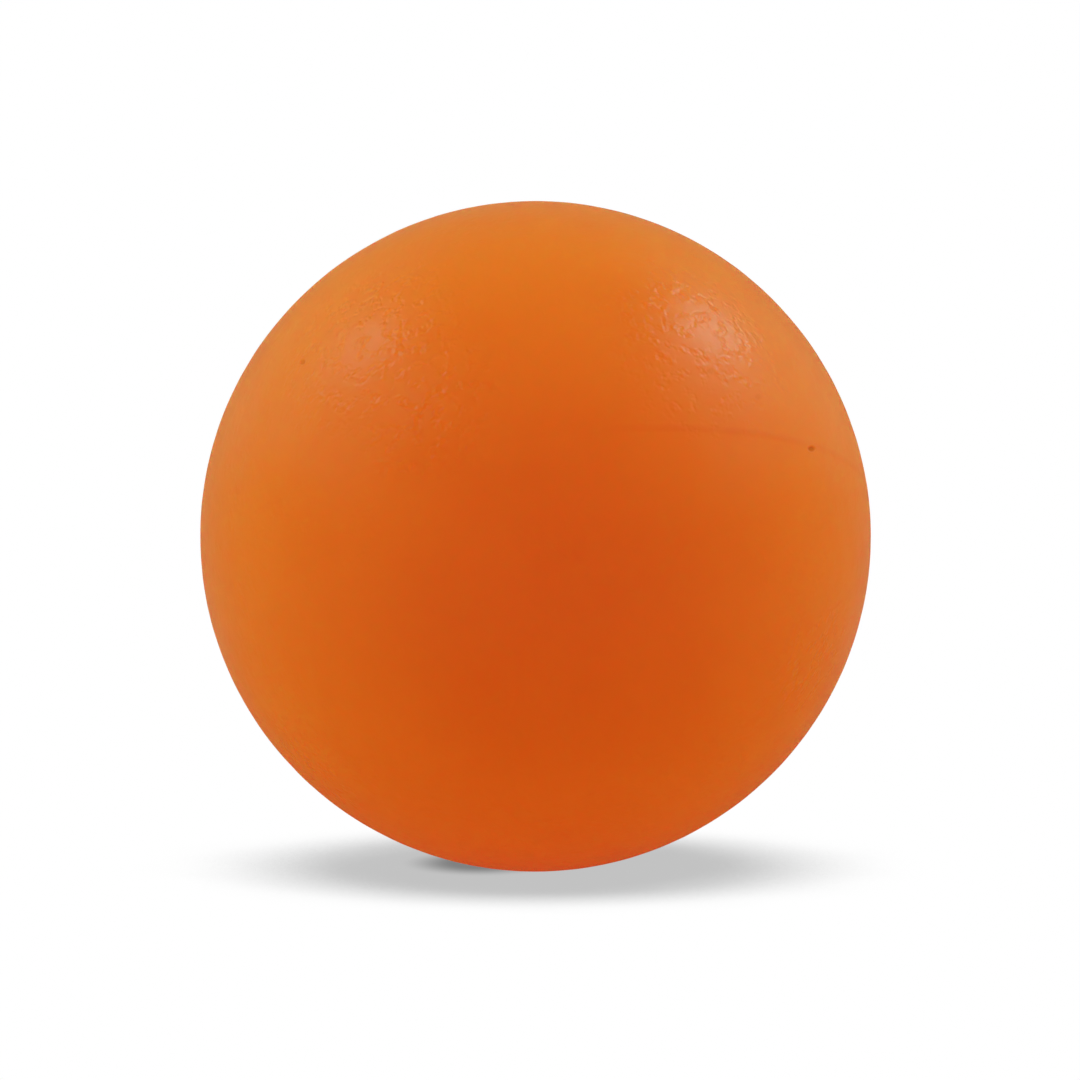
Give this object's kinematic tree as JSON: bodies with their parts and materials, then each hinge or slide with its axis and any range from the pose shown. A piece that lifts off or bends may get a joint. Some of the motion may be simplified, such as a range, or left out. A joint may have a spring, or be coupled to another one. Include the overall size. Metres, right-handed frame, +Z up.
{
  "type": "foosball ball",
  "caption": "Plain orange plastic foosball ball: solid core keyed into cover halves that are welded along a fine seam, satin surface, rolls on the playing field of a table football game.",
  "frame": {"origin": "centre of the ball", "axes": "+Z up as the ball lies on the table, -Y towards the viewer of the picture; the seam's plane leans back by about 24 degrees and to the left by about 8 degrees"},
  "size_m": [0.036, 0.036, 0.036],
  "materials": {
    "cover": "satin",
    "core": "matte"
  },
  "bodies": {
    "root": {"upper_half_shell": "cover", "lower_half_shell": "cover", "core": "core"}
  },
  "joints": []
}
